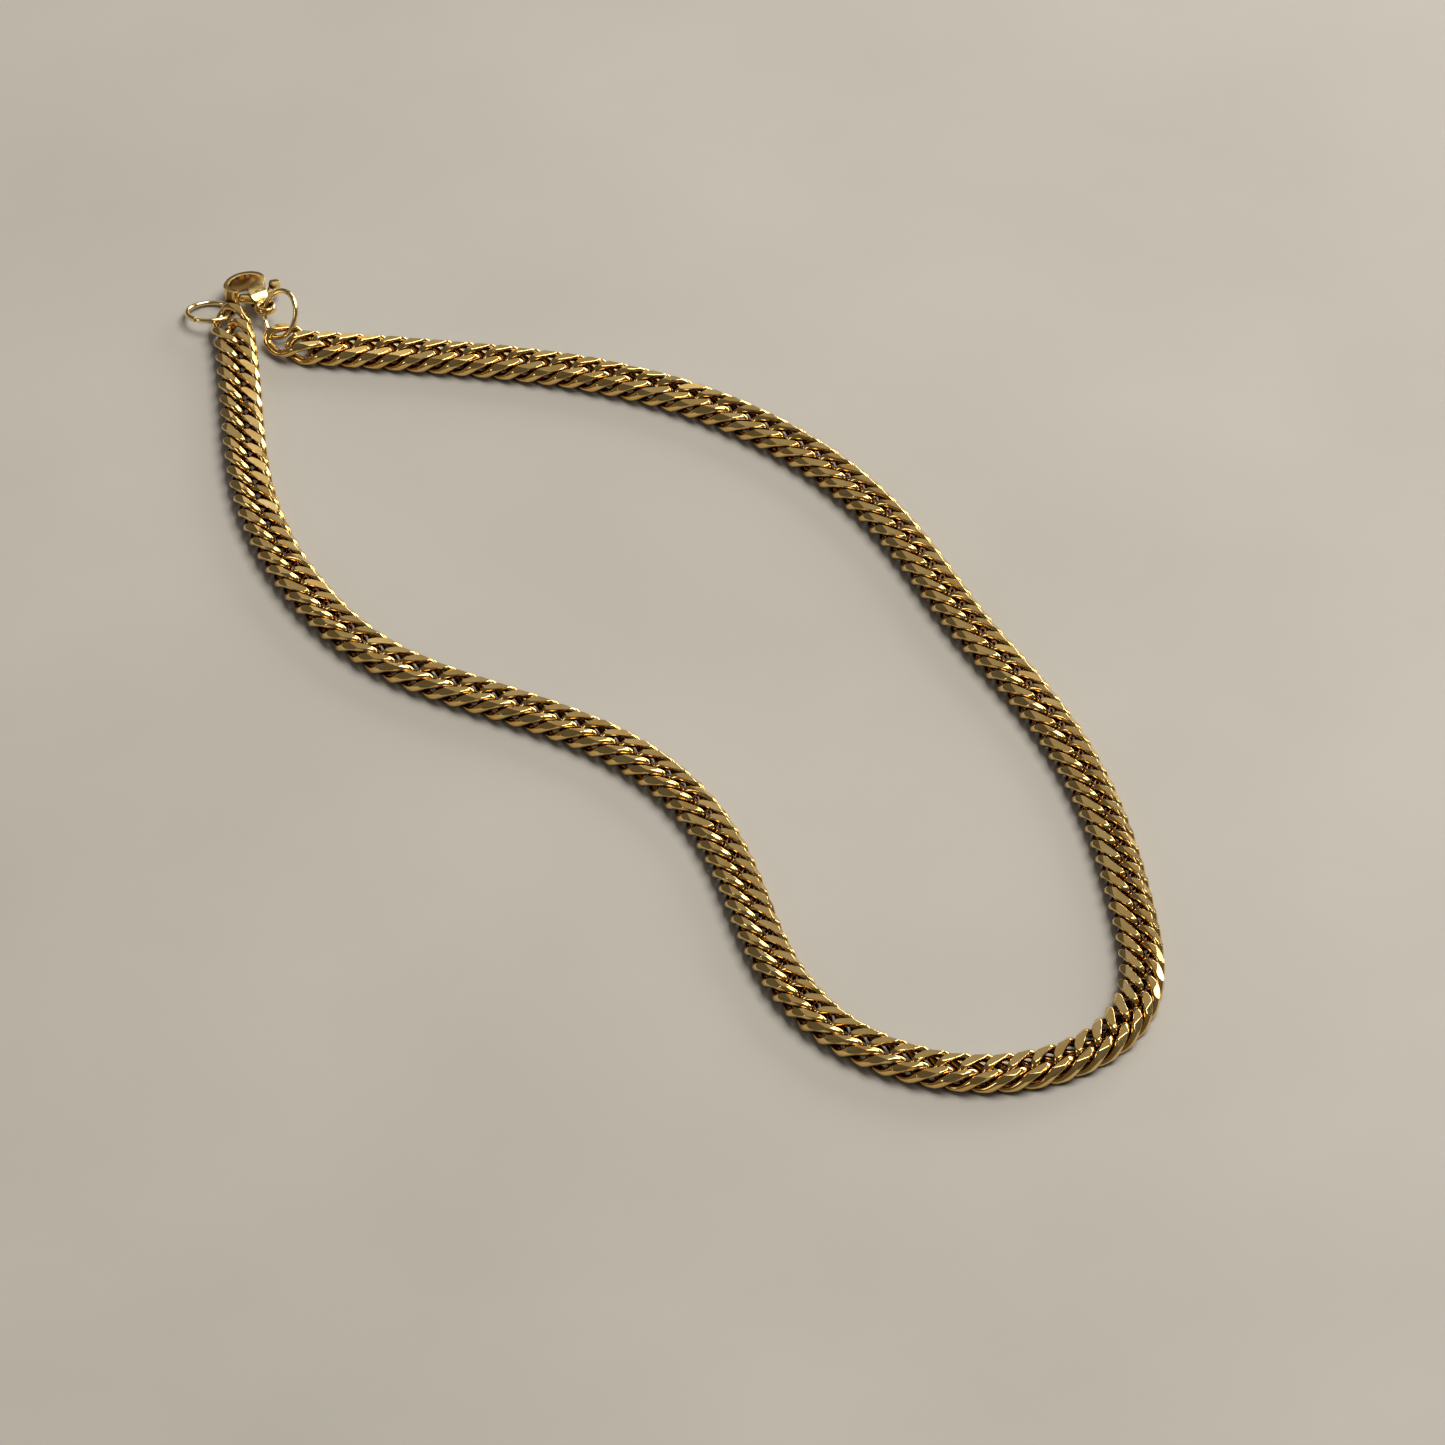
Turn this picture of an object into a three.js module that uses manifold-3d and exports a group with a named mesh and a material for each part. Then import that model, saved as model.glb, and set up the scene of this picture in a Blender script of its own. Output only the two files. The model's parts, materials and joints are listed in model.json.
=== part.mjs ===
// A double curb necklace chain, diamond cut on six faces, laid down open in one loose
// S-curve and loop, with a jump ring at each end and a lobster clasp.
// Units are millimetres and +Z is up. The origin is under the middle of the laid-down
// necklace, on the surface that it lies on.
import * as THREE from "three";
import { NURBSCurve } from "three/addons/curves/NURBSCurve.js";
import { mergeVertices } from "three/addons/utils/BufferGeometryUtils.js";
import Module from "manifold-3d";

const wasm = await Module();
wasm.setup();

const { degToRad } = THREE.MathUtils;

// ---------------------------------------------------------------- driving dimensions
const LINK_COUNT = 137;
const LINK_PITCH = 3.04;
const LINKS_PER_SEGMENT = 3;
const CHAIN_HEIGHT = 2.7;
const WIRE_RADIUS = 0.7;
const WIRE_SIDES = 4;
const LINK_STEPS = 12;

// The centre line of one link: its half length, and its side and height waves.
const LINK_HALF_LENGTH = 3.87;
const LINK_SIDE = 2.08;
const LINK_SIDE_SQUARE = 0.24;
const LINK_TWIST = 1.1;
const LINK_TWIST_SQUARE = 0.08;

// The six cut faces: flats at half the chain's height, and four slopes that start at
// CUT_SHOULDER from the middle of the chain.
const CUT_SHOULDER = 2.0;
const CUT_SLOPE = Math.tan(degToRad(38));

// A thin hidden bridge stands for the touching metal between links of one segment.
const BRIDGE_RADIUS = 0.22;
const BRIDGE_SIDES = 3;

// Facets that deviate by less than this are joined.
const FACET_TOLERANCE = 0.001;

// The route of the chain's middle, as the control points of a smooth curve.
const ROUTE = [
  [-68, 88], [-67, 81.5], [-65.5, 68], [-64, 47.5], [-57.5, 29], [-45.5, 11.5],
  [-27, 3.5], [-9, -6.5], [1.5, -24.5], [5, -44.5], [14.5, -62.5], [36, -70],
  [55, -58], [52.5, -35.5], [49.5, -16.5], [42.5, 3], [32, 20], [24.5, 39],
  [13, 55.5], [-3.5, 68], [-22.5, 74.5], [-42.5, 77], [-56, 78.5], [-62.5, 79],
];

// The chain lies this much closer to the route's end than to its start.
const ROUTE_LEAD = 0.7;

// Each end link hangs a little out of line, pulled by its jump ring: turns in degrees
// about its own side, length and height, then moves along, sideways and up.
const LEFT_LINK_POSE = { pitch: 3, roll: 0.7, yaw: 8.5, along: 0, side: -0.2, up: 0.16 };
const RIGHT_LINK_POSE = { pitch: -2.1, roll: 5.3, yaw: -9.7, along: 0.14, side: -0.61, up: 0.28 };

const RING_RADIUS = 3.25;
const RING_WIRE_RADIUS = 0.34;
const RING_GAP = 0.3;
const RING_SIDES = 8;
const RING_STEPS = 26;

// Where each jump ring lies: its centre, and the tips of its plane in degrees.
const LEFT_RING = { centre: [-70.5, 86.45, 1.3], aboutX: -15.8, aboutY: -0.9, gapAt: 237 };
const RIGHT_RING = { centre: [-60.71, 83.46, 3.28], aboutX: 44.6, aboutY: -47, gapAt: 20 };

// The clasp lies with its nose down, and its own frame starts at the eyelet: X to the
// spine's side, Y to the nose and Z through its thickness.
const CLASP_PLACE = { eyelet: [-62.86, 85.89, 2.47], nose: 121, dip: 8 };
const CLASP_THICKNESS = 2.4;
const CLASP_BEVEL = 0.28;
const NECK_THICKNESS = 1.3;
const EYELET_RADIUS = 1.14;
const EYELET_WIRE_RADIUS = 0.4;
const EYELET_TALLNESS = 1.4;
const PIVOT = [0.3, 2.7];
const PIN_RADIUS = 0.33;
const RUNNING_CLEARANCE = 0.05;
const SLOT_WIDTH = 1.15;
const LEVER_THICKNESS = 0.95;
const PAD_THICKNESS = 1.7;
const PAD_BEVEL = 0.2;
const HUB_RADIUS = 0.95;
const SPRING_RADIUS = 0.53;
const SPRING_WIRE_RADIUS = 0.1;
const SPRING_TURNS = 1.5;
const SPRING_POCKET_RADIUS = 0.67;
const SPRING_POCKET_DEPTH = 0.75;

const GOLD = { color: 0xc9a04a, metalness: 1, roughness: 0.24 };
const STEEL = { color: 0xb9b4a6, metalness: 1, roughness: 0.35 };

// ---------------------------------------------------------------- solids
// A geometry as a manifold solid, placed by a matrix.
function solidOf(geometry, matrix = new THREE.Matrix4()) {
  const bare = geometry.index ? geometry.toNonIndexed() : geometry.clone();
  bare.deleteAttribute("normal");
  bare.deleteAttribute("uv");
  const merged = mergeVertices(bare.applyMatrix4(matrix), 1e-4);
  return new wasm.Manifold(
    new wasm.Mesh({
      numProp: 3,
      vertProperties: new Float32Array(merged.attributes.position.array),
      triVerts: new Uint32Array(merged.index.array),
    }),
  );
}

// A manifold solid as a geometry.
function geometryOf(solid) {
  const mesh = solid.getMesh();
  const geometry = new THREE.BufferGeometry();
  geometry.setAttribute("position", new THREE.BufferAttribute(mesh.vertProperties, 3));
  geometry.setIndex(new THREE.BufferAttribute(mesh.triVerts, 1));
  geometry.computeVertexNormals();
  return geometry;
}

function meshOf(name, geometry, finish) {
  const mesh = new THREE.Mesh(geometry, new THREE.MeshStandardMaterial(finish));
  mesh.name = name;
  return mesh;
}

// ---------------------------------------------------------------- one link
// The centre line of a link at angle t: it runs along X, and its sides twist so that one
// side rises where the other falls. Each link passes through the two before it and the
// two after it.
function linkPoint(t) {
  return new THREE.Vector3(
    LINK_HALF_LENGTH * Math.cos(t),
    LINK_SIDE * Math.sin(t) - LINK_SIDE_SQUARE * Math.sin(3 * t),
    -LINK_TWIST * Math.sin(2 * t) - LINK_TWIST_SQUARE * Math.sin(6 * t),
  );
}

function linkTangent(t) {
  const step = 1e-3;
  return linkPoint(t + step).sub(linkPoint(t - step)).normalize();
}

// A point of the wire's surface, brought down to the cut faces where it lies outside.
function cutPoint(point) {
  const beyond = Math.max(0, Math.abs(point.y) - CUT_SHOULDER);
  const top = CHAIN_HEIGHT / 2 - beyond * CUT_SLOPE;
  point.z = THREE.MathUtils.clamp(point.z, -top, top);
  return point;
}

// The closed tube of one link, whose section keeps one flat side up.
function linkGeometry() {
  const positions = [];
  const up = new THREE.Vector3(0, 0, 1);
  for (let step = 0; step < LINK_STEPS; step++) {
    const t = (2 * Math.PI * step) / LINK_STEPS;
    const tangent = linkTangent(t);
    const rise = up.clone().addScaledVector(tangent, -tangent.z).normalize();
    const across = new THREE.Vector3().crossVectors(rise, tangent);
    for (let side = 0; side < WIRE_SIDES; side++) {
      const angle = (2 * Math.PI * (side + 0.5)) / WIRE_SIDES;
      const point = linkPoint(t)
        .addScaledVector(across, WIRE_RADIUS * Math.cos(angle))
        .addScaledVector(rise, WIRE_RADIUS * Math.sin(angle));
      positions.push(...cutPoint(point).toArray());
    }
  }
  const index = [];
  for (let step = 0; step < LINK_STEPS; step++) {
    const here = step * WIRE_SIDES;
    const next = ((step + 1) % LINK_STEPS) * WIRE_SIDES;
    for (let side = 0; side < WIRE_SIDES; side++) {
      const after = (side + 1) % WIRE_SIDES;
      index.push(here + side, next + after, next + side);
      index.push(here + side, here + after, next + after);
    }
  }
  const geometry = new THREE.BufferGeometry();
  geometry.setAttribute("position", new THREE.Float32BufferAttribute(positions, 3));
  geometry.setIndex(index);
  return geometry;
}

// ---------------------------------------------------------------- the chain's route
const routeKnots = [0, 0, 0];
const routeSpans = ROUTE.length - 3;
for (let span = 0; span <= routeSpans; span++) routeKnots.push(span / routeSpans);
routeKnots.push(1, 1, 1);
const routeCurve = new NURBSCurve(
  3,
  routeKnots,
  ROUTE.map(([x, y]) => new THREE.Vector4(x, y, 0, 1)),
);
routeCurve.arcLengthDivisions = 4000;
const routeLength = routeCurve.getLength();
const routeStart = (routeLength - (LINK_COUNT - 1) * LINK_PITCH) / 2 + ROUTE_LEAD;

// The place of the chain at a link number, which may lie between two links.
function routeAt(number) {
  const share = (routeStart + number * LINK_PITCH) / routeLength;
  const point = routeCurve.getPointAt(share);
  const tangent = routeCurve.getTangentAt(share);
  return { point, heading: Math.atan2(tangent.y, tangent.x) };
}

// The matrix that stands a link on the route, out of line by an optional pose.
function linkMatrix(number, pose = {}) {
  const { pitch = 0, roll = 0, yaw = 0, along = 0, side = 0, up = 0 } = pose;
  const { point, heading } = routeAt(number);
  const place = new THREE.Matrix4().makeRotationZ(heading);
  place.setPosition(point.x, point.y, CHAIN_HEIGHT / 2);
  place.multiply(new THREE.Matrix4().makeTranslation(along, side, up));
  place.multiply(new THREE.Matrix4().makeRotationZ(degToRad(yaw)));
  place.multiply(new THREE.Matrix4().makeRotationX(degToRad(roll)));
  return place.multiply(new THREE.Matrix4().makeRotationY(degToRad(pitch)));
}

// ---------------------------------------------------------------- links and segments
const linkShape = linkGeometry();

// The pair of nearest points between a link and the next one along a straight chain.
function nearestContact() {
  const samples = 120;
  const best = { gap: Infinity };
  for (let i = 0; i < samples; i++) {
    const here = linkPoint((2 * Math.PI * i) / samples);
    for (let j = 0; j < samples; j++) {
      const there = linkPoint((2 * Math.PI * j) / samples);
      there.x += LINK_PITCH;
      const gap = here.distanceTo(there);
      if (gap < best.gap - 1e-6) Object.assign(best, { gap, here, there });
    }
  }
  best.there.x -= LINK_PITCH;
  return best;
}
const contact = nearestContact();

// A short rod from a point to another.
function bridgeSolid(from, to) {
  const length = from.distanceTo(to);
  const rod = new THREE.CylinderGeometry(BRIDGE_RADIUS, BRIDGE_RADIUS, length, BRIDGE_SIDES);
  const turn = new THREE.Quaternion().setFromUnitVectors(
    new THREE.Vector3(0, 1, 0),
    to.clone().sub(from).normalize(),
  );
  const middle = from.clone().add(to).multiplyScalar(0.5);
  return solidOf(rod, new THREE.Matrix4().compose(middle, turn, new THREE.Vector3(1, 1, 1)));
}

// Links from first to last as one solid, in a frame that stands halfway between the first
// link and the one before it, where the chain bends.
function segmentMesh(name, first, last) {
  const base = linkMatrix(first - 0.5);
  const toBase = base.clone().invert();
  let solid = null;
  for (let number = first; number <= last; number++) {
    const place = toBase.clone().multiply(linkMatrix(number));
    const link = solidOf(linkShape, place);
    solid = solid ? solid.add(link) : link;
    if (number > first) {
      const before = toBase.clone().multiply(linkMatrix(number - 1));
      const from = contact.here.clone().applyMatrix4(before);
      const to = contact.there.clone().applyMatrix4(place);
      solid = solid.add(bridgeSolid(from, to));
    }
  }
  const joined = solid.asOriginal().simplify(FACET_TOLERANCE);
  const mesh = meshOf(name, geometryOf(joined), GOLD);
  mesh.applyMatrix4(base);
  return mesh;
}

function endLinkMesh(name, number, pose) {
  const mesh = meshOf(name, linkShape, GOLD);
  mesh.applyMatrix4(linkMatrix(number, pose));
  return mesh;
}

// ---------------------------------------------------------------- jump rings
// A round wire bent to an almost closed ring in its own XY plane. The gap is at the
// angle gapAt, in degrees.
function ringGeometry(gapAt) {
  const halfGap = RING_GAP / 2 / RING_RADIUS;
  const start = degToRad(gapAt) + halfGap;
  const sweep = 2 * Math.PI - 2 * halfGap;
  const path = new THREE.Curve();
  path.getPoint = (share, target = new THREE.Vector3()) => {
    const angle = start + share * sweep;
    return target.set(RING_RADIUS * Math.cos(angle), RING_RADIUS * Math.sin(angle), 0);
  };
  const section = new THREE.Shape(
    new THREE.Path().absarc(0, 0, RING_WIRE_RADIUS, 0, 2 * Math.PI).getPoints(RING_SIDES / 2).slice(1),
  );
  return new THREE.ExtrudeGeometry(section, { steps: RING_STEPS, extrudePath: path });
}

// The turn that tips a ring's plane about X and then about Y.
function ringTurn(aboutX, aboutY) {
  const normal = new THREE.Vector3(
    Math.sin(aboutY),
    -Math.sin(aboutX) * Math.cos(aboutY),
    Math.cos(aboutX) * Math.cos(aboutY),
  );
  const across = new THREE.Vector3(0, 1, 0).cross(normal).normalize();
  const along = new THREE.Vector3().crossVectors(normal, across);
  const basis = new THREE.Matrix4().makeBasis(across, along, normal);
  return new THREE.Quaternion().setFromRotationMatrix(basis);
}

function ringMesh(name, place) {
  const mesh = meshOf(name, geometryOf(solidOf(ringGeometry(place.gapAt))), GOLD);
  mesh.position.set(...place.centre);
  mesh.quaternion.copy(ringTurn(degToRad(place.aboutX), degToRad(place.aboutY)));
  return mesh;
}

// ---------------------------------------------------------------- clasp
// A flat piece with the outline given as points, centred on Z = 0.
function plateSolid(points, thickness) {
  const shape = new THREE.Shape(points.map(([x, y]) => new THREE.Vector2(x, y)));
  const geometry = new THREE.ExtrudeGeometry(shape, { depth: thickness, bevelEnabled: false });
  return solidOf(geometry, new THREE.Matrix4().makeTranslation(0, 0, -thickness / 2));
}

// The same piece with sloped edges, from its outline shrunk by the bevel.
function bevelledSolid(points, thickness, bevel) {
  const section = new wasm.CrossSection([points], "NonZero");
  const inner = section.offset(-bevel, "Miter");
  const wide = section.extrude(thickness - 2 * bevel, 0, 0, [1, 1], true);
  const tall = inner.extrude(thickness, 0, 0, [1, 1], true);
  return wide.add(tall);
}

// A round rod along Z with its middle at a point.
function rodSolid([x, y], radius, length, z = 0) {
  const geometry = new THREE.CylinderGeometry(radius, radius, length, 16);
  const place = new THREE.Matrix4().makeTranslation(x, y, z);
  return solidOf(geometry, place.multiply(new THREE.Matrix4().makeRotationX(Math.PI / 2)));
}

// The claw: a spine that widens from the neck, and a hook that arches over to its tip.
const CLAW_OUTLINE = [
  [-0.7, 1.35], [1, 1.35], [1.4, 2], [1.6, 3], [2, 4], [2.7, 5], [3.1, 6], [3, 7],
  [2.3, 8], [1.2, 8.55], [0.1, 8.7], [-1.2, 8.35], [-2.35, 7.5], [-2.95, 6.5], [-2.75, 5.4],
  [-2.5, 4.4], [-1.95, 4.15], [-1.8, 4.75], [-2.15, 5.6], [-2.2, 6.3], [-1.8, 7],
  [-1, 7.6], [0.1, 7.9], [1.1, 7.75], [1.9, 7.2], [2.25, 6.4], [2, 5.8],
  [1, 5.3], [0, 4.7], [-0.6, 3.6], [-0.9, 2.4],
];
const NECK_OUTLINE = [[-0.65, 0.95], [0.65, 0.95], [1, 2], [-0.7, 2]];

// The room between the two cheeks, open to both sides for the gate and the tab.
const SLOT_OUTLINE = [
  [-2, 1.65], [1.4, 1.65], [3.5, 0.6], [5, 5], [3.3, 5.3], [2.3, 4.2], [1.3, 3.9],
  [0.6, 4.9], [-0.6, 5.4], [-1.7, 5.4],
];

// The gate runs from the hub up to the hook's tip. The tab sticks out past the spine and
// ends in a thicker pad for the thumb.
const GATE_OUTLINE = [
  [-0.5, 2.2], [-1.9, 3.9], [-1.85, 4.35], [-1.7, 4.7], [-1.2, 4.75], [0.4, 3.6], [0.9, 2.9],
];
const TAB_OUTLINE = [
  [0.9, 2.1], [2.6, 2.5], [3.7, 3.3], [3.9, 4.3], [3.1, 4.6], [2.3, 3.8], [0.9, 3.3],
];
const PAD_OUTLINE = [[3.1, 3], [3.8, 3.2], [4.5, 4], [4.3, 4.7], [3.5, 5], [3.1, 4.7], [2.8, 4]];

function claspBodySolid() {
  const eyelet = new THREE.TorusGeometry(EYELET_RADIUS, EYELET_WIRE_RADIUS, 8, 16);
  const tall = new THREE.Matrix4().makeScale(1, 1, EYELET_TALLNESS);
  return bevelledSolid(CLAW_OUTLINE, CLASP_THICKNESS, CLASP_BEVEL)
    .add(plateSolid(NECK_OUTLINE, NECK_THICKNESS))
    .add(solidOf(eyelet, tall))
    .subtract(plateSolid(SLOT_OUTLINE, SLOT_WIDTH))
    .subtract(rodSolid(PIVOT, PIN_RADIUS, 2 * CLASP_THICKNESS));
}

function claspLeverSolid() {
  const pocketMiddle = (LEVER_THICKNESS - SPRING_POCKET_DEPTH) / 2;
  return rodSolid(PIVOT, HUB_RADIUS, LEVER_THICKNESS)
    .add(plateSolid(GATE_OUTLINE, LEVER_THICKNESS))
    .add(plateSolid(TAB_OUTLINE, LEVER_THICKNESS))
    .add(bevelledSolid(PAD_OUTLINE, PAD_THICKNESS, PAD_BEVEL))
    .subtract(rodSolid(PIVOT, PIN_RADIUS + RUNNING_CLEARANCE, 2 * LEVER_THICKNESS))
    .subtract(rodSolid(PIVOT, SPRING_POCKET_RADIUS, SPRING_POCKET_DEPTH, pocketMiddle));
}

// A coil round the pin, in the pocket of the lever's hub.
function claspSpringGeometry() {
  const rise = SPRING_POCKET_DEPTH - 4 * SPRING_WIRE_RADIUS;
  const floor = LEVER_THICKNESS / 2 - SPRING_POCKET_DEPTH + 2 * SPRING_WIRE_RADIUS;
  const path = new THREE.Curve();
  path.getPoint = (share, target = new THREE.Vector3()) => {
    const angle = share * SPRING_TURNS * 2 * Math.PI;
    return target.set(
      PIVOT[0] + SPRING_RADIUS * Math.cos(angle),
      PIVOT[1] + SPRING_RADIUS * Math.sin(angle),
      floor + share * rise,
    );
  };
  const section = new THREE.Shape(
    new THREE.Path().absarc(0, 0, SPRING_WIRE_RADIUS, 0, 2 * Math.PI).getPoints(3).slice(1),
  );
  return new THREE.ExtrudeGeometry(section, { steps: 20, extrudePath: path });
}

function claspGroup() {
  const group = new THREE.Group();
  const pin = rodSolid(PIVOT, PIN_RADIUS - 0.01, CLASP_THICKNESS - 0.1);
  group.add(
    meshOf("clasp_body", geometryOf(claspBodySolid()), GOLD),
    meshOf("clasp_lever", geometryOf(claspLeverSolid()), GOLD),
    meshOf("clasp_pin", geometryOf(pin), GOLD),
    meshOf("clasp_spring", geometryOf(solidOf(claspSpringGeometry())), STEEL),
  );
  group.position.set(...CLASP_PLACE.eyelet);
  group.rotation.set(-degToRad(CLASP_PLACE.dip), 0, degToRad(CLASP_PLACE.nose - 90), "ZXY");
  return group;
}

// ---------------------------------------------------------------- the necklace
const laidDown = new THREE.Group();
laidDown.add(endLinkMesh("end_link_left", 0, LEFT_LINK_POSE));
for (let first = 1; first < LINK_COUNT - 1; first += LINKS_PER_SEGMENT) {
  const count = String((first - 1) / LINKS_PER_SEGMENT + 1).padStart(2, "0");
  laidDown.add(segmentMesh("chain_segment_" + count, first, first + LINKS_PER_SEGMENT - 1));
}
laidDown.add(endLinkMesh("end_link_right", LINK_COUNT - 1, RIGHT_LINK_POSE));
laidDown.add(ringMesh("jump_ring_left", LEFT_RING));
laidDown.add(ringMesh("jump_ring_right", RIGHT_RING));
laidDown.add(claspGroup());

// The middle of the laid-down necklace goes to the origin.
const extent = new THREE.Box3().setFromObject(laidDown, true);
const middle = extent.getCenter(new THREE.Vector3());
laidDown.position.set(-middle.x, -middle.y, -extent.min.z);

const necklace = new THREE.Group();
necklace.add(laidDown);

export default necklace;
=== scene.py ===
"""A yellow gold necklace of diamond-cut double curb links, laid down in a loose open loop.

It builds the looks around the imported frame: the cut links, two jump rings and a lobster clasp,
then a floor, soft lights and the camera. Sizes are in millimetres until a mesh is made."""

import json
import math
import random

import bmesh
import bpy
import numpy as np
from mathutils import Matrix, Vector


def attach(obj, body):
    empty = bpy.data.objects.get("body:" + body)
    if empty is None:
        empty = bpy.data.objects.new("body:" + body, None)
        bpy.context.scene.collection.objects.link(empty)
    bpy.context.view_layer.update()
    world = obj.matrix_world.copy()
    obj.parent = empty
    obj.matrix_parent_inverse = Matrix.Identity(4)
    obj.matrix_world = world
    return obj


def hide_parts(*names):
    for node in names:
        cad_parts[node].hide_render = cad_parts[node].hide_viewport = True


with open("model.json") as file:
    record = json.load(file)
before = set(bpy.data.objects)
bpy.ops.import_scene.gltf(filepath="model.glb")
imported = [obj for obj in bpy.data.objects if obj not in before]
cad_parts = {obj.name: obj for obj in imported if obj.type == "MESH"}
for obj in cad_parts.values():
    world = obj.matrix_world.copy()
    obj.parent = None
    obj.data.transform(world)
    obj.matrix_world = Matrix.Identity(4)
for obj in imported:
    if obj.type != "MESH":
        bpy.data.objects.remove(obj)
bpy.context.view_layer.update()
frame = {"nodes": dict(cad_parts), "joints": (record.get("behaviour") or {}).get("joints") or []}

MM = 0.001
random.seed(11)

# ---------------------------------------------------------------- dimensions
LINK_COUNT = 137
LINKS_PER_SEGMENT = 3
SEGMENT_COUNT = (LINK_COUNT - 2) // LINKS_PER_SEGMENT
CHAIN_HEIGHT = 2.7
WIRE_RADIUS = 0.615
WIRE_SIDES = 28
LINK_STEPS = 88
LINK_VARIANTS = 14

# The centre line of one link: its half length, and its side and height waves. The shift
# moves the high parts out from the middle of the chain, where the wire dives, and the
# bluntness squares off the link's ends.
LINK_HALF_LENGTH = 3.87
LINK_SIDE = 2.08
LINK_SIDE_SQUARE = 0.24
LINK_TWIST = 1.06
LINK_TWIST_SQUARE = 0.08
LINK_TWIST_SHIFT = 0.12
LINK_BLUNTNESS = 0.06

# The six cut faces, three above and three below: where the sloping ones start, their slope,
# and how much each link's faces wander from the ideal.
CUT_SHOULDER = 2.0
CUT_SLOPE = math.radians(38)
CUT_TILT_ALONG = math.radians(3.2)
CUT_TILT_ACROSS = math.radians(2.6)
CUT_DEPTH_SPREAD = 0.035
CUT_EDGE = 0.03
CUT_EDGE_ANGLE = math.radians(24)
UNDERSIDE_WANDER = 0.15
# A step between two faces past this is an edge. The wire's own facets turn by less.
LINK_SHARP_DEGREES = 15

# The jump rings: the radius of the wire's middle, the wire, and the gap's width and angle.
RING_RADIUS = 3.25
RING_WIRE_RADIUS = 0.36
RING_GAP = 0.3
RING_GAP_AT = {"jump_ring_left": 237, "jump_ring_right": 20}
RING_STEPS = 120
RING_SIDES = 20
RING_END_BEVEL = 0.06
RING_SHARP_DEGREES = 40

# The clasp lies in its own XY plane: the eyelet is at the middle and the nose is up along Y.
CLASP_THICKNESS = 2.4
CLASP_OUTER_BEVEL = 0.5
CLASP_INNER_BEVEL = 0.12
CLASP_SHARP_DEGREES = 38
NECK_THICKNESS = 1.3
NECK_BEVEL = 0.15
EYELET_RADIUS = 1.14
EYELET_WIRE_RADIUS = 0.4
EYELET_TALLNESS = 1.4
EYELET_STEPS = 48
EYELET_SIDES = 18
PIVOT = (0.3, 2.7)
PIVOT_SIDES = 40
PIN_RADIUS = 0.32
PIN_BEVEL = 0.07
PIN_STANDS_PROUD = 0.04
PIN_FIT = 0.01
SLOT_WIDTH = 1.15
LEVER_THICKNESS = 0.95
LEVER_BEVEL = 0.14
LEVER_FIT = 0.06
PAD_THICKNESS = 1.7
PAD_BEVEL = 0.22
HUB_RADIUS = 0.95
HUB_BEVEL = 0.08
HUB_THICKNESS = LEVER_THICKNESS - 0.02
SPRING_RADIUS = 0.53
SPRING_WIRE_RADIUS = 0.1
SPRING_DRAWN_THINNER = 0.95
SPRING_TURNS = 1.5
SPRING_STEPS = 60
SPRING_SIDES = 10
SPRING_POCKET_RADIUS = SPRING_RADIUS + 0.14
SPRING_POCKET_DEPTH = 0.75
# The tool that cuts the spring's pocket reaches this far past the lever's face.
CUT_PAST = 0.01

# Steps from one outline point to the next, where a curve runs through them.
CLAW_CURVE_STEPS = 5
LEVER_CURVE_STEPS = 4

# The claw's outside, from the neck round the nose to the hook's tip, and then its inside.
CLAW_OUTSIDE = [
    (-0.7, 1.35), (1, 1.35), (1.4, 2), (1.6, 3), (2, 4), (2.7, 5), (3.1, 6), (3, 7),
    (2.3, 8), (1.2, 8.55), (0.1, 8.7), (-1.2, 8.35), (-2.35, 7.5), (-2.95, 6.5),
    (-2.75, 5.4), (-2.5, 4.4),
]
CLAW_INSIDE = [
    (-1.95, 4.15), (-1.8, 4.75), (-2.15, 5.6), (-2.2, 6.3), (-1.8, 7), (-1, 7.6),
    (0.1, 7.9), (1.1, 7.75), (1.9, 7.2), (2.25, 6.4), (2, 5.8), (1, 5.3), (0, 4.7),
    (-0.6, 3.6), (-0.9, 2.4),
]
# Facets cut across the claw's two faces: where each starts along Y, its slope, and the
# block that cuts it.
FACET_START = 2.3
FACET_SLOPE = math.radians(28)
FACET_BLOCK = [(-4, -6), (4, -6), (4, 0), (-4, 0)]
FACET_BLOCK_THICKNESS = 4
NECK_OUTLINE = [(-0.65, 0.95), (0.65, 0.95), (1, 2), (-0.7, 2)]
SLOT_OUTLINE = [
    (-2, 1.65), (1.4, 1.65), (3.5, 0.6), (5, 5), (3.3, 5.3), (2.3, 4.2), (1.3, 3.9),
    (0.6, 4.9), (-0.6, 5.4), (-1.7, 5.4),
]
LEVER_OUTLINE = [
    (-0.5, 2.2), (-1.3, 3.2), (-1.85, 3.95), (-1.8, 4.35), (-1.65, 4.65), (-1.2, 4.7),
    (-0.4, 4.15), (0.4, 3.6), (1.3, 3.4), (2.3, 3.75), (3.1, 4.55), (3.85, 4.2), (3.7, 3.35),
    (2.6, 2.55), (1.1, 2.15), (0.3, 1.78),
]
PAD_OUTLINE = [
    (3.1, 3), (3.8, 3.2), (4.5, 4), (4.3, 4.7), (3.5, 5), (3.1, 4.7), (2.8, 4),
]


# ---------------------------------------------------------------- from the frame
def hinge(name):
    """The place of a joint in millimetres, and its axis."""
    joint = next(j for j in frame["joints"] if j["name"] == name)
    return Vector(joint["pos_m"]) / MM, Vector(joint["axis"])


def cad_points(node):
    """The corners of a CAD node in millimetres."""
    return np.array([v.co for v in frame["nodes"][node].data.vertices]) / MM


# The chain bends halfway between two links at each hinge, so the hinges mark its route.
route_hinges = (
    ["end_link_left_swing"]
    + [f"link_bend_{k:02d}" for k in range(1, SEGMENT_COUNT)]
    + ["end_link_right_swing"]
)
ROUTE = np.array([hinge(name)[0] for name in route_hinges])


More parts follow.
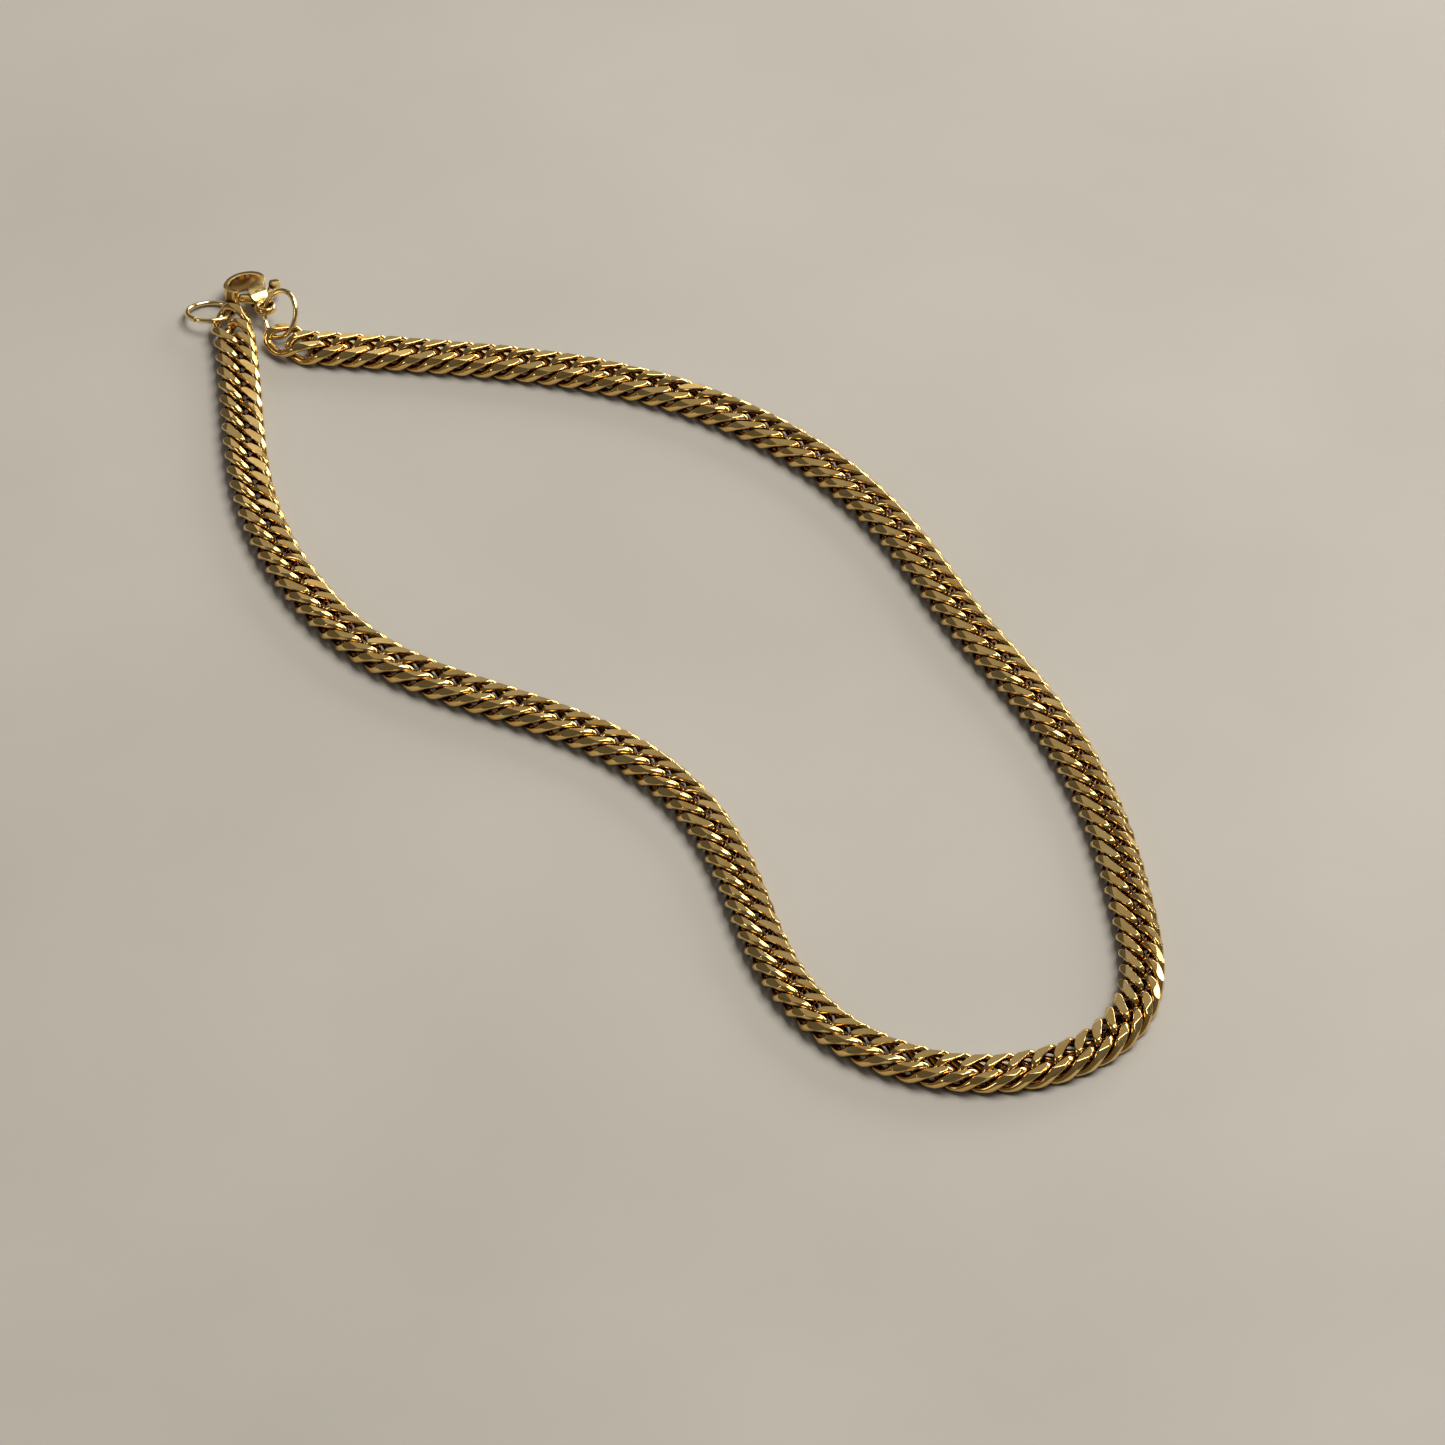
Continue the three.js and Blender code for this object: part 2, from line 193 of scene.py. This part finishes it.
def spline_moments(points):
    """The second derivatives of the natural cubic spline through evenly spaced points."""
    count = len(points)
    matrix = np.eye(count)
    right = np.zeros_like(points)
    for i in range(1, count - 1):
        matrix[i, i - 1 : i + 2] = 1 / 6, 2 / 3, 1 / 6
        right[i] = points[i + 1] - 2 * points[i] + points[i - 1]
    return np.linalg.solve(matrix, right)


ROUTE_MOMENTS = spline_moments(ROUTE)


def route_at(number):
    """The middle of the chain at a link number, and its heading there."""
    share = (number - 0.5) / LINKS_PER_SEGMENT
    i = min(max(int(math.floor(share)), 0), len(ROUTE) - 2)
    b = share - i
    a = 1 - b
    here, there = ROUTE[i], ROUTE[i + 1]
    bend_here, bend_there = ROUTE_MOMENTS[i], ROUTE_MOMENTS[i + 1]
    point = a * here + b * there + ((a**3 - a) * bend_here + (b**3 - b) * bend_there) / 6
    slope = there - here + ((3 * b * b - 1) * bend_there - (3 * a * a - 1) * bend_here) / 6
    return Vector(point), math.atan2(slope[1], slope[0])


def link_on_route(number):
    """Lays a link flat on the route."""
    point, heading = route_at(number)
    return Matrix.Translation(point) @ Matrix.Rotation(heading, 4, "Z")


def main_axes(points):
    """The middle of some points, and the directions in which they spread, widest first."""
    middle = points.mean(axis=0)
    directions = np.linalg.svd(points - middle, full_matrices=False)[2]
    return Vector(middle), [Vector(direction) for direction in directions]


def link_as_in_cad(node, number):
    """Where a CAD node of one link hangs: it is longest along the chain and thinnest upright."""
    middle, (along, _, upright) = main_axes(cad_points(node))
    heading = route_at(number)[1]
    if along.dot(Vector((math.cos(heading), math.sin(heading), 0))) < 0:
        along.negate()
    if upright.z < 0:
        upright.negate()
    basis = Matrix((along, upright.cross(along), upright)).transposed()
    return Matrix.Translation(middle) @ basis.to_4x4()


# ---------------------------------------------------------------- mesh helpers
def object_of(bm, name, matrix=None):
    """Turns a mesh in millimetres, placed by a matrix, into an object in metres."""
    if matrix is not None:
        bm.transform(matrix)
    bm.transform(Matrix.Scale(MM, 4))
    mesh = bpy.data.meshes.new(name)
    bm.to_mesh(mesh)
    bm.free()
    obj = bpy.data.objects.new(name, mesh)
    bpy.context.scene.collection.objects.link(obj)
    return obj


def finish_surface(obj, materials, sharp_degrees):
    """Smooth shading with flats kept flat, and the piece's materials."""
    mesh = obj.data
    mesh.polygons.foreach_set("use_smooth", [True] * len(mesh.polygons))
    mesh.set_sharp_from_angle(angle=math.radians(sharp_degrees))
    weighted = obj.modifiers.new("flat_faces", "WEIGHTED_NORMAL")
    weighted.keep_sharp = True
    mesh.materials.clear()
    for material in materials:
        mesh.materials.append(material)
    return obj


def smooth_loop(points, per_span):
    """A closed curve through the points, as Catmull-Rom spans."""
    count = len(points)
    out = []
    for i in range(count):
        p0, p1, p2, p3 = (Vector(points[(i + k) % count]) for k in (-1, 0, 1, 2))
        for step in range(per_span):
            t = step / per_span
            out.append(
                0.5
                * (
                    2 * p1
                    + (p2 - p0) * t
                    + (2 * p0 - 5 * p1 + 4 * p2 - p3) * t**2
                    + (3 * p1 - p0 - 3 * p2 + p3) * t**3
                )
            )
    return out


def plate(points, thickness, bevel=0.0, bevel_segments=3, middle=0.0):
    """A flat piece of that outline, centred on a height, with rounded edges."""
    bm = bmesh.new()
    low = middle - thickness / 2
    bottom = [bm.verts.new((p[0], p[1], low)) for p in points]
    top = [bm.verts.new((p[0], p[1], low + thickness)) for p in points]
    bm.faces.new(top)
    bm.faces.new(list(reversed(bottom)))
    for i in range(len(points)):
        k = (i + 1) % len(points)
        bm.faces.new((bottom[i], bottom[k], top[k], top[i]))
    bmesh.ops.recalc_face_normals(bm, faces=bm.faces)
    if bevel:
        rim = [e for e in bm.edges if abs(e.verts[0].co.z - e.verts[1].co.z) < 1e-6]
        bmesh.ops.bevel(
            bm, geom=rim, offset=bevel, segments=bevel_segments, affect="EDGES", profile=0.5,
        )
    bmesh.ops.triangulate(bm, faces=[f for f in bm.faces if len(f.verts) > 4])
    return bm


def tube(path, radius, sides, closed=False):
    """A round wire along a path. Open ends are closed by a face with a rounded rim."""
    bm = bmesh.new()
    up = Vector((0, 0, 1))
    count = len(path)
    rows = []
    for i, point in enumerate(path):
        before = path[(i - 1) % count] if closed or i else point
        after = path[(i + 1) % count] if closed or i < count - 1 else point
        tangent = (after - before).normalized()
        rise = (up - tangent * up.dot(tangent)).normalized()
        across = rise.cross(tangent)
        row = []
        for side in range(sides):
            angle = 2 * math.pi * (side + 0.5) / sides
            offset = across * math.cos(angle) + rise * math.sin(angle)
            row.append(bm.verts.new(point + offset * radius))
        rows.append(row)
    for i in range(count if closed else count - 1):
        here, there = rows[i], rows[(i + 1) % count]
        for side in range(sides):
            k = (side + 1) % sides
            bm.faces.new((here[side], here[k], there[k], there[side]))
    if not closed:
        ends = [bm.faces.new(rows[0]), bm.faces.new(rows[-1])]
        rim = [e for face in ends for e in face.edges]
        bmesh.ops.bevel(bm, geom=rim, offset=RING_END_BEVEL, segments=2, affect="EDGES")
    bmesh.ops.recalc_face_normals(bm, faces=bm.faces)
    return bm


def round_at_pivot(radius, length, bevel=0.0):
    """A cylinder on the axis that the clasp's lever turns about."""
    turns = [2 * math.pi * i / PIVOT_SIDES for i in range(PIVOT_SIDES)]
    circle = [
        (PIVOT[0] + radius * math.cos(turn), PIVOT[1] + radius * math.sin(turn))
        for turn in turns
    ]
    return plate(circle, length, bevel)


def ring_path(radius, steps, start=0.0, sweep=2 * math.pi, rise=0.0):
    """Points along an arc about Z, which may climb as a coil does."""
    closed = abs(sweep - 2 * math.pi) < 1e-9
    last = steps if closed else steps - 1
    return [
        Vector(
            (
                radius * math.cos(start + sweep * i / last),
                radius * math.sin(start + sweep * i / last),
                rise * i / last,
            )
        )
        for i in range(steps)
    ]


def combine(base, tools):
    """Applies booleans to an object: a list of (operation, object)."""
    for operation, tool in tools:
        modifier = base.modifiers.new(operation, "BOOLEAN")
        modifier.operation = operation
        modifier.object = tool
        modifier.solver = "MANIFOLD"
    graph = bpy.context.evaluated_depsgraph_get()
    result = bpy.data.meshes.new_from_object(base.evaluated_get(graph))
    base.modifiers.clear()
    base.data = result
    for _, tool in tools:
        bpy.data.objects.remove(tool)
    return base


# ---------------------------------------------------------------- gold
# Painted shade darkens the colour in the crevices between the wires, and a painted highlight
# makes the colour paler along the sharp edges.
PAINTED_SHADE = (0.17, 0.07, 0.016)
PAINTED_SHADE_START = 0.2
PAINTED_SHADE_END = 0.78
PAINTED_SHADE_REACH_M = 0.002
EDGE_HIGHLIGHT = (1.0, 1.06, 1.2)
EDGE_HIGHLIGHT_START = 0.52
EDGE_HIGHLIGHT_END = 0.6

# The scales of the patterns in the metal, and how high the scratches stand.
TONES_PER_M = 420
SMEARS_PER_M = 900
SCRATCHES_PER_M = 5200
SCRATCH_HEIGHT_M = 0.00002
SWAYS_PER_M = 95
RIPPLES_PER_M = 330
RIPPLE_SHARE = 0.04

PALE_GOLD = (0.95, 0.77, 0.39)
MID_GOLD = (0.90, 0.64, 0.25)
DEEP_GOLD = (0.80, 0.50, 0.15)
PALE_STEEL = (0.62, 0.60, 0.56)
DEEP_STEEL = (0.45, 0.43, 0.40)
WHITE = (1, 1, 1)
# A pattern as long along every axis.
EVEN = (1, 1, 1)


def tree_of(material):
    """A material's nodes, and the shader among them."""
    material.use_nodes = True
    tree = material.node_tree
    return tree, tree.nodes["Principled BSDF"]


def noise(tree, coordinates, scale, detail, stretch=EVEN):
    """A noise pattern of a scale per metre. A stretch below 1 lengthens it along that axis."""
    mapping = tree.nodes.new("ShaderNodeMapping")
    mapping.inputs["Scale"].default_value = stretch
    texture = tree.nodes.new("ShaderNodeTexNoise")
    texture.inputs["Scale"].default_value = scale
    texture.inputs["Detail"].default_value = detail
    tree.links.new(coordinates.outputs["Object"], mapping.inputs["Vector"])
    tree.links.new(mapping.outputs["Vector"], texture.inputs["Vector"])
    return texture.outputs["Fac"]


def ramp(tree, value, low, high, start=0.3, end=0.7):
    """Blends two colours along a value."""
    node = tree.nodes.new("ShaderNodeValToRGB")
    node.color_ramp.elements[0].position = start
    node.color_ramp.elements[0].color = (*low, 1)
    node.color_ramp.elements[1].position = end
    node.color_ramp.elements[1].color = (*high, 1)
    tree.links.new(value, node.inputs["Fac"])
    return node.outputs["Color"]


def spread(tree, value, low, high):
    """Maps a value between 0 and 1 to a range."""
    node = tree.nodes.new("ShaderNodeMapRange")
    node.inputs["To Min"].default_value = low
    node.inputs["To Max"].default_value = high
    tree.links.new(value, node.inputs["Value"])
    return node.outputs["Result"]


def bump(tree, height, distance, strength=1.0, normal=None):
    """Leans the surface as a pattern does that stands this far out, in metres."""
    node = tree.nodes.new("ShaderNodeBump")
    node.inputs["Strength"].default_value = strength
    node.inputs["Distance"].default_value = distance
    tree.links.new(height, node.inputs["Height"])
    if normal is not None:
        tree.links.new(normal, node.inputs["Normal"])
    return node.outputs["Normal"]


def openness(tree):
    """How open a place is: 1 on the outside, falling to 0 deep between the wires."""
    node = tree.nodes.new("ShaderNodeAmbientOcclusion")
    node.samples = 8
    node.inputs["Distance"].default_value = PAINTED_SHADE_REACH_M
    return node.outputs["AO"]


def edges(tree):
    """How sharply the surface sticks out: 0.5 on flats, and more along edges."""
    return tree.nodes.new("ShaderNodeNewGeometry").outputs["Pointiness"]


def times(tree, one, other):
    """Multiplies two colours."""
    node = tree.nodes.new("ShaderNodeMix")
    node.data_type = "RGBA"
    node.blend_type = "MULTIPLY"
    node.inputs["Factor"].default_value = 1
    sockets = {socket.identifier: socket for socket in [*node.inputs, *node.outputs]}
    tree.links.new(one, sockets["A_Color"])
    tree.links.new(other, sockets["B_Color"])
    return sockets["Result_Color"]


def metal(name, pale, deep, roughness, scratch_depth, scratch_stretch=EVEN, sway_m=0.0):
    """Polished metal: its colour drifts between two tones, and fine scratches break the gloss.

    The roughness is its least and its most. The sway is how far the polished faces lean and
    dish from place to place."""
    material = bpy.data.materials.new(name)
    tree, shader = tree_of(material)
    shader.inputs["Metallic"].default_value = 1.0
    coordinates = tree.nodes.new("ShaderNodeTexCoord")
    tones = ramp(tree, noise(tree, coordinates, TONES_PER_M, 3), deep, pale)
    # Painted shade: the colour is darkened where the wires, floor and other links hem the
    # surface in.
    painted_shade = ramp(tree, openness(tree), PAINTED_SHADE, WHITE, PAINTED_SHADE_START, PAINTED_SHADE_END)
    # Painted highlight: the colour is made paler along sharp edges.
    painted_highlight = ramp(tree, edges(tree), WHITE, EDGE_HIGHLIGHT, EDGE_HIGHLIGHT_START, EDGE_HIGHLIGHT_END)
    tree.links.new(times(tree, times(tree, tones, painted_shade), painted_highlight), shader.inputs["Base Color"])
    smears = noise(tree, coordinates, SMEARS_PER_M, 5, scratch_stretch)
    tree.links.new(spread(tree, smears, *roughness), shader.inputs["Roughness"])
    normal = None
    if sway_m:
        normal = bump(tree, noise(tree, coordinates, SWAYS_PER_M, 1), sway_m)
        ripples = noise(tree, coordinates, RIPPLES_PER_M, 0)
        normal = bump(tree, ripples, sway_m * RIPPLE_SHARE, normal=normal)
    scratches = noise(tree, coordinates, SCRATCHES_PER_M, 4, scratch_stretch)
    normal = bump(tree, scratches, SCRATCH_HEIGHT_M, scratch_depth, normal)
    tree.links.new(normal, shader.inputs["Normal"])
    return material


wire_gold = metal("chain_wire_gold", MID_GOLD, DEEP_GOLD, (0.08, 0.18), 0.12)
cut_gold = metal(
    "chain_cut_gold", PALE_GOLD, MID_GOLD, (0.06, 0.16), 0.10, (0.25, 1, 1), sway_m=0.0006
)
ring_gold = metal("ring_gold", PALE_GOLD, MID_GOLD, (0.08, 0.20), 0.05, (1, 1, 0.3))
clasp_gold = metal(
    "clasp_gold", MID_GOLD, DEEP_GOLD, (0.09, 0.22), 0.10, (1, 0.4, 1), sway_m=0.0012
)
lever_gold = metal("lever_gold", MID_GOLD, DEEP_GOLD, (0.10, 0.24), 0.12, (0.4, 1, 1))
pin_gold = metal("pin_gold", MID_GOLD, DEEP_GOLD, (0.12, 0.28), 0.25)
spring_steel = metal("spring_steel", PALE_STEEL, DEEP_STEEL, (0.2, 0.4), 0.2)


# ---------------------------------------------------------------- links
def link_point(t):
    """The middle of the wire, at an angle round the link."""
    return Vector(
        (
            LINK_HALF_LENGTH * math.cos(t) + LINK_BLUNTNESS * math.cos(3 * t),
            LINK_SIDE * math.sin(t) - LINK_SIDE_SQUARE * math.sin(3 * t),
            -LINK_TWIST * math.sin(2 * t)
            + LINK_TWIST_SHIFT * math.sin(4 * t)
            - LINK_TWIST_SQUARE * math.sin(6 * t),
        )
    )


def cut(bm, point, normal):
    """Cuts the mesh off beyond a plane, and closes it with faces of the cut material."""
    done = bmesh.ops.bisect_plane(
        bm,
        geom=bm.verts[:] + bm.edges[:] + bm.faces[:],
        dist=1e-5,
        plane_co=point,
        plane_no=normal,
        clear_outer=True,
    )
    rims = [e for e in done["geom_cut"] if isinstance(e, bmesh.types.BMEdge)]
    if rims:
        for face in bmesh.ops.edgeloop_fill(bm, edges=rims)["faces"]:
            face.material_index = 1


def link_variant(number):
    """One link, with its six cut faces a little out of true in its own way."""
    path = [link_point(2 * math.pi * i / LINK_STEPS) for i in range(LINK_STEPS)]
    bm = tube(path, WIRE_RADIUS, WIRE_SIDES, closed=True)
    for vertical, wander in ((1, 1), (-1, UNDERSIDE_WANDER)):
        along = random.uniform(-wander, wander) * CUT_TILT_ALONG
        across = random.uniform(-wander, wander) * CUT_TILT_ACROSS
        lean = Matrix.Rotation(along, 3, "Y") @ Matrix.Rotation(across, 3, "X")
        depth = random.uniform(0, 1) * CUT_DEPTH_SPREAD
        height = vertical * (CHAIN_HEIGHT / 2 - depth)
        cut(bm, (0, 0, height), lean @ Vector((0, 0, vertical)))
        for sideways in (1, -1):
            slope = Vector((0, sideways * math.sin(CUT_SLOPE), vertical * math.cos(CUT_SLOPE)))
            turn = Matrix.Rotation(random.uniform(-1, 1) * CUT_TILT_ALONG, 3, "Z")
            cut(bm, (0, sideways * CUT_SHOULDER, vertical * CHAIN_HEIGHT / 2), turn @ slope)
    rims = [
        e for e in bm.edges
        if len(e.link_faces) == 2
        and any(f.material_index for f in e.link_faces)
        and e.calc_face_angle(0) > CUT_EDGE_ANGLE
    ]
    bmesh.ops.bevel(bm, geom=rims, offset=CUT_EDGE, segments=1, affect="EDGES")
    mesh = bpy.data.meshes.new(f"link_variant_{number}")
    bm.to_mesh(mesh)
    bm.free()
    return mesh


variants = [link_variant(number) for number in range(LINK_VARIANTS)]


def links_object(name, body, places):
    """The links that ride together on one body, which stand for its CAD node."""
    bm = bmesh.new()
    for place in places:
        link = random.choice(variants).copy()
        link.transform(place)
        bm.from_mesh(link)
        bpy.data.meshes.remove(link)
    obj = finish_surface(object_of(bm, name), [wire_gold, cut_gold], LINK_SHARP_DEGREES)
    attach(obj, body)
    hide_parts(body)


def end_link(node, number):
    """An end link hangs out of line with the chain, so its place is its CAD node's."""
    links_object(node + "_gold", node, [link_as_in_cad(node, number)])


end_link("end_link_left", 0)
for segment in range(1, SEGMENT_COUNT + 1):
    last = segment * LINKS_PER_SEGMENT
    numbers = range(last - LINKS_PER_SEGMENT + 1, last + 1)
    places = [link_on_route(number) for number in numbers]
    links_object(f"links_{segment:02d}", f"chain_segment_{segment:02d}", places)
end_link("end_link_right", LINK_COUNT - 1)


# ---------------------------------------------------------------- jump rings
def ring_frame(node):
    """The centre and turn of a CAD ring, from its own points."""
    points = cad_points(node)
    middle, (_, _, normal) = main_axes(points)
    if normal.z < 0:
        normal.negate()
    across = Vector((0, 1, 0)).cross(normal).normalized()
    along = normal.cross(across)
    # The gap pulls the points' middle off the ring's own, so a circle is fitted to them.
    flat = (points - np.array(middle)) @ np.array([across, along]).T
    design = np.column_stack([2 * flat, np.ones(len(flat))])
    fit = np.linalg.lstsq(design, (flat**2).sum(axis=1), rcond=None)[0]
    centre = middle + across * fit[0] + along * fit[1]
    basis = Matrix((across, along, normal)).transposed()
    return Matrix.Translation(centre) @ basis.to_4x4()


def jump_ring(node):
    """A wire bent to an almost closed ring."""
    half_gap = RING_GAP / 2 / RING_RADIUS
    start = math.radians(RING_GAP_AT[node]) + half_gap
    path = ring_path(RING_RADIUS, RING_STEPS, start, 2 * math.pi - 2 * half_gap)
    bm = tube(path, RING_WIRE_RADIUS, RING_SIDES)
    obj = object_of(bm, node + "_wire", ring_frame(node))
    finish_surface(obj, [ring_gold], RING_SHARP_DEGREES)
    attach(obj, node)
    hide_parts(node)


jump_ring("jump_ring_left")
jump_ring("jump_ring_right")


# ---------------------------------------------------------------- clasp
def clasp_matrix():
    """The clasp's own frame: the eyelet, X to the spine, Y to the nose."""
    eyelet = hinge("clasp_swing")[0]
    pivot, axis = hinge("clasp_lever_open")
    height = -axis.normalized()
    to_pivot = (pivot - eyelet).normalized()
    nose = Matrix.Rotation(math.atan2(PIVOT[0], PIVOT[1]), 3, height) @ to_pivot
    spine = nose.cross(height)
    basis = Matrix((spine, nose, height)).transposed()
    return Matrix.Translation(eyelet) @ basis.to_4x4()


CLASP = clasp_matrix()


def clasp_piece(obj, node, body, material):
    """Moves a piece from the clasp's own frame to its place, and gives it to its body."""
    obj.data.transform(Matrix.Scale(MM, 4) @ CLASP @ Matrix.Scale(1 / MM, 4))
    finish_surface(obj, [material], CLASP_SHARP_DEGREES)
    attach(obj, body)
    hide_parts(node)


def claw():
    """The claw, whose outside is rounded off more than its inside."""
    bm = plate(smooth_loop(CLAW_OUTSIDE + CLAW_INSIDE, CLAW_CURVE_STEPS), CLASP_THICKNESS)
    outline_points = CLAW_CURVE_STEPS * len(CLAW_OUTSIDE + CLAW_INSIDE)
    outside_points = CLAW_CURVE_STEPS * (len(CLAW_OUTSIDE) - 1)
    weights = bm.edges.layers.float.new("bevel_weight_edge")
    bm.verts.index_update()
    for edge in bm.edges:
        low, high = sorted(vert.index % outline_points for vert in edge.verts)
        if edge.verts[0].co.z * edge.verts[1].co.z > 0 and high - low in (1, outline_points - 1):
            outside = high <= outside_points
            edge[weights] = 1 if outside else CLASP_INNER_BEVEL / CLASP_OUTER_BEVEL
    obj = object_of(bm, "clasp_body_cast")
    rounding = obj.modifiers.new("rounding", "BEVEL")
    rounding.width = CLASP_OUTER_BEVEL * MM
    rounding.segments = 4
    rounding.limit_method = "WEIGHT"
    return obj


def facet_block(side):
    """What is cut off a face of the claw, from a line across it down towards the neck."""
    block = plate(FACET_BLOCK, FACET_BLOCK_THICKNESS, middle=FACET_BLOCK_THICKNESS / 2)
    block.transform(Matrix.Rotation(FACET_SLOPE, 4, "X"))
    block.transform(Matrix.Translation((0, FACET_START, CLASP_THICKNESS / 2)))
    if side < 0:
        block.transform(Matrix.Rotation(math.pi, 4, "Y"))
    return object_of(block, "facet")


def clasp_body():
    neck = object_of(plate(NECK_OUTLINE, NECK_THICKNESS, NECK_BEVEL), "neck")
    path = ring_path(EYELET_RADIUS, EYELET_STEPS)[:-1]
    eyelet = tube(path, EYELET_WIRE_RADIUS, EYELET_SIDES, closed=True)
    eyelet.transform(Matrix.Scale(EYELET_TALLNESS, 4, (0, 0, 1)))
    slot = object_of(plate(SLOT_OUTLINE, SLOT_WIDTH), "slot")
    pin_hole = object_of(round_at_pivot(PIN_RADIUS + PIN_FIT, 2 * CLASP_THICKNESS), "pin_hole")
    body = combine(
        claw(),
        [
            ("DIFFERENCE", facet_block(1)),
            ("DIFFERENCE", facet_block(-1)),
            ("UNION", neck),
            ("UNION", object_of(eyelet, "eyelet")),
            ("DIFFERENCE", slot),
            ("DIFFERENCE", pin_hole),
        ],
    )
    clasp_piece(body, "clasp_body", "clasp_body", clasp_gold)


def clasp_lever():
    gate = plate(smooth_loop(LEVER_OUTLINE, LEVER_CURVE_STEPS), LEVER_THICKNESS, LEVER_BEVEL, 2)
    pad = plate(smooth_loop(PAD_OUTLINE, LEVER_CURVE_STEPS), PAD_THICKNESS, PAD_BEVEL, 2)
    hub = round_at_pivot(HUB_RADIUS, HUB_THICKNESS, HUB_BEVEL)
    bore = round_at_pivot(PIN_RADIUS + LEVER_FIT, 4 * LEVER_THICKNESS)
    pocket = round_at_pivot(SPRING_POCKET_RADIUS, SPRING_POCKET_DEPTH)
    rise = (LEVER_THICKNESS - SPRING_POCKET_DEPTH) / 2 + CUT_PAST
    pocket.transform(Matrix.Translation((0, 0, rise)))
    lever = combine(
        object_of(gate, "clasp_lever_gate"),
        [
            ("UNION", object_of(hub, "hub")),
            ("UNION", object_of(pad, "pad")),
            ("DIFFERENCE", object_of(bore, "bore")),
            ("DIFFERENCE", object_of(pocket, "pocket")),
        ],
    )
    clasp_piece(lever, "clasp_lever", "clasp_lever", lever_gold)


def clasp_pin():
    pin = round_at_pivot(PIN_RADIUS, CLASP_THICKNESS + PIN_STANDS_PROUD, PIN_BEVEL)
    obj = object_of(pin, "clasp_pin_rivet")
    clasp_piece(obj, "clasp_pin", "clasp_body", pin_gold)


def clasp_spring():
    rise = SPRING_POCKET_DEPTH - 4 * SPRING_WIRE_RADIUS
    lowest = LEVER_THICKNESS / 2 - SPRING_POCKET_DEPTH + 2 * SPRING_WIRE_RADIUS
    path = ring_path(SPRING_RADIUS, SPRING_STEPS, 0, SPRING_TURNS * 2 * math.pi, rise)
    coil = tube(path, SPRING_WIRE_RADIUS * SPRING_DRAWN_THINNER, SPRING_SIDES)
    coil.transform(Matrix.Translation((*PIVOT, lowest)))
    obj = object_of(coil, "clasp_spring_coil")
    clasp_piece(obj, "clasp_spring", "clasp_body", spring_steel)


clasp_body()
clasp_lever()
clasp_pin()
clasp_spring()


# ---------------------------------------------------------------- floor, light and camera
# The camera looks along +Y and down at this angle, from this far, at a point inside the loop.
# Its angle, distance, aim and lens were fitted to the view in the photograph.
CAMERA_ELEVATION = math.radians(41)
CAMERA_DISTANCE_M = 1.1766
CAMERA_AIM_M = Vector((0.00913, -0.0121, 0.00137))
CAMERA_SEES_M = 10
SENSOR_MM = 36
LENS_MM = 224.22

FLOOR_HALF_WIDTH_M = 3
FLOOR_CLOUDS_PER_M = 14
FLOOR_DULL = (0.45, 0.42, 0.36)
FLOOR_PALE = (0.50, 0.465, 0.405)
LIGHT_DISTANCE_M = 1.2
ROOM_COLOUR = (1.0, 0.96, 0.91)
ROOM_STRENGTH = 0.11


def floor():
    bm = bmesh.new()
    bmesh.ops.create_grid(bm, x_segments=1, y_segments=1, size=FLOOR_HALF_WIDTH_M)
    mesh = bpy.data.meshes.new("floor")
    bm.to_mesh(mesh)
    bm.free()
    obj = bpy.data.objects.new("floor", mesh)
    bpy.context.scene.collection.objects.link(obj)
    material = bpy.data.materials.new("pale_floor")
    tree, shader = tree_of(material)
    coordinates = tree.nodes.new("ShaderNodeTexCoord")
    clouds = noise(tree, coordinates, FLOOR_CLOUDS_PER_M, 4)
    tree.links.new(ramp(tree, clouds, FLOOR_DULL, FLOOR_PALE), shader.inputs["Base Color"])
    shader.inputs["Roughness"].default_value = 0.7
    mesh.materials.append(material)


def soft_light(name, azimuth, elevation, size, power, colour):
    """A light of a width and height in metres that faces the necklace.

    Azimuth 0 is behind the camera, and the angles are in degrees."""
    data = bpy.data.lights.new(name, "AREA")
    data.shape = "RECTANGLE"
    data.size, data.size_y = size
    data.energy = power
    data.color = colour
    obj = bpy.data.objects.new(name, data)
    bpy.context.scene.collection.objects.link(obj)
    a, e = math.radians(azimuth), math.radians(elevation)
    away = Vector((math.sin(a) * math.cos(e), -math.cos(a) * math.cos(e), math.sin(e)))
    obj.location = away * LIGHT_DISTANCE_M
    obj.rotation_euler = away.to_track_quat("Z", "Y").to_euler()


def lights():
    soft_light("overhead", 110, 66, (0.8, 0.8), 13.5, (1, 0.98, 0.95))
    soft_light("window", 142, 17, (1.1, 0.4), 7.5, (1, 0.99, 0.96))
    soft_light("fill", -70, 30, (0.3, 0.3), 0.8, (1, 0.97, 0.93))
    soft_light("back_wall", 178, 45, (1.1, 0.6), 0.5, (1, 0.98, 0.94))
    soft_light("back_window", 184, 28, (0.5, 0.24), 0.24, (1, 0.97, 0.91))
    world = bpy.data.worlds.new("room")
    bpy.context.scene.world = world
    world.use_nodes = True
    background = world.node_tree.nodes["Background"]
    background.inputs["Color"].default_value = (*ROOM_COLOUR, 1)
    background.inputs["Strength"].default_value = ROOM_STRENGTH


def camera():
    data = bpy.data.cameras.new("camera")
    data.sensor_width = SENSOR_MM
    data.lens = LENS_MM
    data.clip_end = CAMERA_SEES_M
    obj = bpy.data.objects.new("camera", data)
    bpy.context.scene.collection.objects.link(obj)
    back = Vector((0, -math.cos(CAMERA_ELEVATION), math.sin(CAMERA_ELEVATION)))
    obj.location = CAMERA_AIM_M + back * CAMERA_DISTANCE_M
    obj.rotation_euler = (math.pi / 2 - CAMERA_ELEVATION, 0, 0)
    bpy.context.scene.camera = obj


floor()
lights()
camera()
bpy.context.scene.view_settings.view_transform = "Standard"
